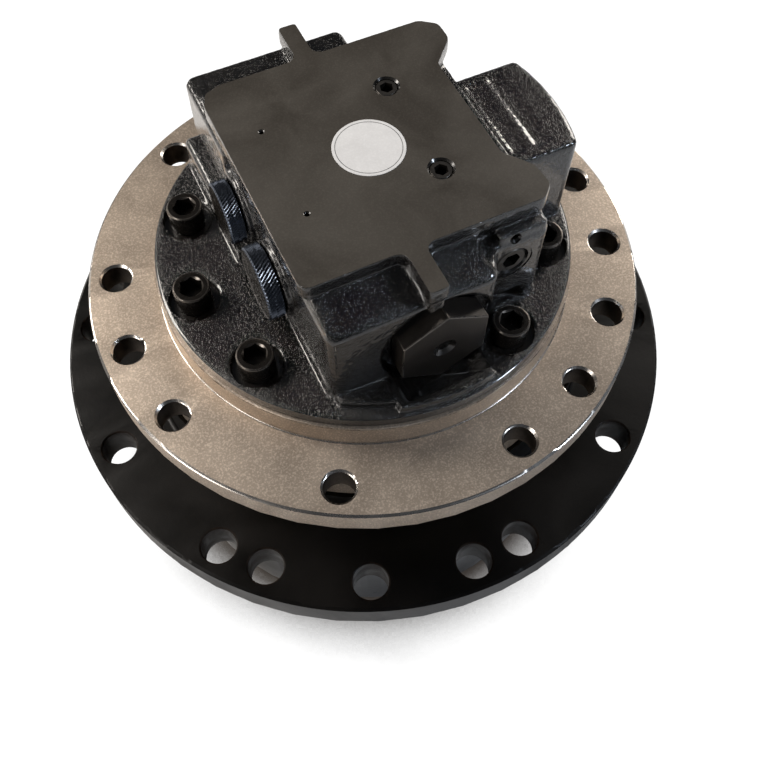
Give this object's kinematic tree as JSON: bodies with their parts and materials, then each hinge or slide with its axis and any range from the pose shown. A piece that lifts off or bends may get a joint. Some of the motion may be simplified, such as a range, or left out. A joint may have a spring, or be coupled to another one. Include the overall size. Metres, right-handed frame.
{
  "type": "excavator final drive",
  "caption": "Travel motor and planetary reduction for a tracked machine: a fixed frame flange with a ported rear cover, and a turning sprocket hub.",
  "frame": {"origin": "middle of the end cover's standing face", "axes": "+Z along the drive's axis from the end cover to the ported rear cover, +X from the port caps to the hump, +Y from the front valve cap to the back one"},
  "size_m": [0.332, 0.332, 0.272],
  "materials": {
    "black_paint": "gloss",
    "cover_paint": "gloss over a rough casting",
    "machined_steel": "turned",
    "ground_steel": "ground",
    "gear_steel": "hardened",
    "blackened_screw": "blackened",
    "plug_blue": "satin",
    "bronze": "machined",
    "friction_lining": "matte",
    "rubber": "matte"
  },
  "bodies": {
    "motor_case": {"spindle": "machined_steel", "rear_cover": "cover_paint", "cover_screw_1": "blackened_screw", "cover_screw_2": "blackened_screw", "cover_screw_3": "blackened_screw", "cover_screw_4": "blackened_screw", "cover_screw_5": "blackened_screw", "cover_screw_6": "blackened_screw", "cover_screw_7": "blackened_screw", "valve_cap_front": "cover_paint", "valve_cap_back": "cover_paint", "port_cap_front": "plug_blue", "port_cap_back": "plug_blue", "top_plug_front": "ground_steel", "top_plug_back": "ground_steel", "pilot_plug": "ground_steel", "valve_plate": "bronze", "brake_steel_plate": "ground_steel", "bearing_inner_lower": "ground_steel", "bearing_inner_upper": "ground_steel", "bearing_nut": "gear_steel", "planet_carrier_two": "gear_steel", "seal_ring_fixed": "ground_steel", "seal_cushion_fixed": "rubber", "shaft_bearing": "ground_steel"},
    "hub": {"hub_housing": "black_paint", "end_cover": "black_paint", "cover_bolt_1": "blackened_screw", "cover_bolt_2": "blackened_screw", "cover_bolt_3": "blackened_screw", "cover_bolt_4": "blackened_screw", "cover_bolt_5": "blackened_screw", "cover_bolt_6": "blackened_screw", "cover_bolt_7": "blackened_screw", "cover_bolt_8": "blackened_screw", "fill_plug": "ground_steel", "drain_plug": "ground_steel", "bearing_outer_lower": "ground_steel", "bearing_outer_upper": "ground_steel", "seal_ring_turning": "ground_steel", "seal_cushion_turning": "rubber"},
    "cage_lower": {"ball_cage_lower": "ground_steel"},
    "cage_upper": {"ball_cage_upper": "ground_steel"},
    "carrier_one": {"planet_carrier_one": "gear_steel", "sun_gear_two": "gear_steel"},
    "rotor": {"drive_shaft": "ground_steel", "cylinder_block": "bronze", "piston_set": "ground_steel", "brake_lined_plate": "friction_lining"},
    "brake_piston": {"brake_piston": "ground_steel", "brake_spring": "gear_steel"},
    "spool": {"counterbalance_spool": "ground_steel"},
    "swash": {"swash_plate": "ground_steel"},
    "speed_piston": {"speed_piston": "ground_steel"},
    "planet_one_1": {"planet_gear_one_1": "gear_steel"},
    "planet_one_2": {"planet_gear_one_2": "gear_steel"},
    "planet_one_3": {"planet_gear_one_3": "gear_steel"},
    "planet_two_1": {"planet_gear_two_1": "gear_steel"},
    "planet_two_2": {"planet_gear_two_2": "gear_steel"},
    "planet_two_3": {"planet_gear_two_3": "gear_steel"}
  },
  "joints": [
    {"name": "hub_turn", "type": "hinge", "parent": "motor_case", "child": "hub", "pos_m": [0, 0, 0.14], "axis": [0, 0, 1], "continuous": true},
    {"name": "carrier_one_turn", "type": "hinge", "parent": "motor_case", "child": "carrier_one", "pos_m": [0, 0, 0.053], "axis": [0, 0, 1], "continuous": true},
    {"name": "rotor_turn", "type": "hinge", "parent": "motor_case", "child": "rotor", "pos_m": [0, 0, 0.12], "axis": [0, 0, 1], "continuous": true},
    {"name": "cage_lower_turn", "type": "hinge", "parent": "motor_case", "child": "cage_lower", "pos_m": [0, 0, 0.1129], "axis": [0, 0, 1], "continuous": true},
    {"name": "cage_upper_turn", "type": "hinge", "parent": "motor_case", "child": "cage_upper", "pos_m": [0, 0, 0.1395], "axis": [0, 0, 1], "continuous": true},
    {"name": "planet_two_1_turn", "type": "hinge", "parent": "motor_case", "child": "planet_two_1", "pos_m": [0.063, 0, 0.0719], "axis": [0, 0, 1], "continuous": true},
    {"name": "planet_one_1_turn", "type": "hinge", "parent": "carrier_one", "child": "planet_one_1", "pos_m": [0.063, 0, 0.038], "axis": [0, 0, 1], "continuous": true},
    {"name": "planet_two_2_turn", "type": "hinge", "parent": "motor_case", "child": "planet_two_2", "pos_m": [-0.0315, 0.05456, 0.0719], "axis": [0, 0, 1], "continuous": true},
    {"name": "planet_one_2_turn", "type": "hinge", "parent": "carrier_one", "child": "planet_one_2", "pos_m": [-0.0315, 0.05456, 0.038], "axis": [0, 0, 1], "continuous": true},
    {"name": "planet_two_3_turn", "type": "hinge", "parent": "motor_case", "child": "planet_two_3", "pos_m": [-0.0315, -0.05456, 0.0719], "axis": [0, 0, 1], "continuous": true},
    {"name": "planet_one_3_turn", "type": "hinge", "parent": "carrier_one", "child": "planet_one_3", "pos_m": [-0.0315, -0.05456, 0.038], "axis": [0, 0, 1], "continuous": true},
    {"name": "brake_release", "type": "slide", "parent": "motor_case", "child": "brake_piston", "axis": [0, 0, 1], "range_m": [0, 0.002], "stiffness_N_per_m": 20000, "springref_m": -0.004, "deforming": ["brake_spring"]},
    {"name": "spool_shift", "type": "slide", "parent": "motor_case", "child": "spool", "axis": [0, 1, 0], "range_m": [-0.004, 0.004], "stiffness_N_per_m": 4000},
    {"name": "swash_tilt", "type": "hinge", "parent": "motor_case", "child": "swash", "pos_m": [0, 0, 0.1022], "axis": [1, 0, 0], "range_deg": [0, 5.5]},
    {"name": "speed_piston_slide", "type": "slide", "parent": "motor_case", "child": "speed_piston", "axis": [0, 0, 1], "range_m": [0, 0.0034]}
  ],
  "couplings": [
    {"joint": "carrier_one_turn", "follows": "hub_turn", "ratio": -5},
    {"joint": "rotor_turn", "follows": "hub_turn", "ratio": -35},
    {"joint": "cage_lower_turn", "follows": "hub_turn", "ratio": 0.532},
    {"joint": "cage_upper_turn", "follows": "hub_turn", "ratio": 0.532},
    {"joint": "planet_two_1_turn", "follows": "hub_turn", "ratio": 2.5},
    {"joint": "planet_one_1_turn", "follows": "hub_turn", "ratio": 15},
    {"joint": "planet_two_2_turn", "follows": "hub_turn", "ratio": 2.5},
    {"joint": "planet_one_2_turn", "follows": "hub_turn", "ratio": 15},
    {"joint": "planet_two_3_turn", "follows": "hub_turn", "ratio": 2.5},
    {"joint": "planet_one_3_turn", "follows": "hub_turn", "ratio": 15},
    {"joint": "speed_piston_slide", "follows": "swash_tilt", "m_per_rad": 0.035}
  ]
}
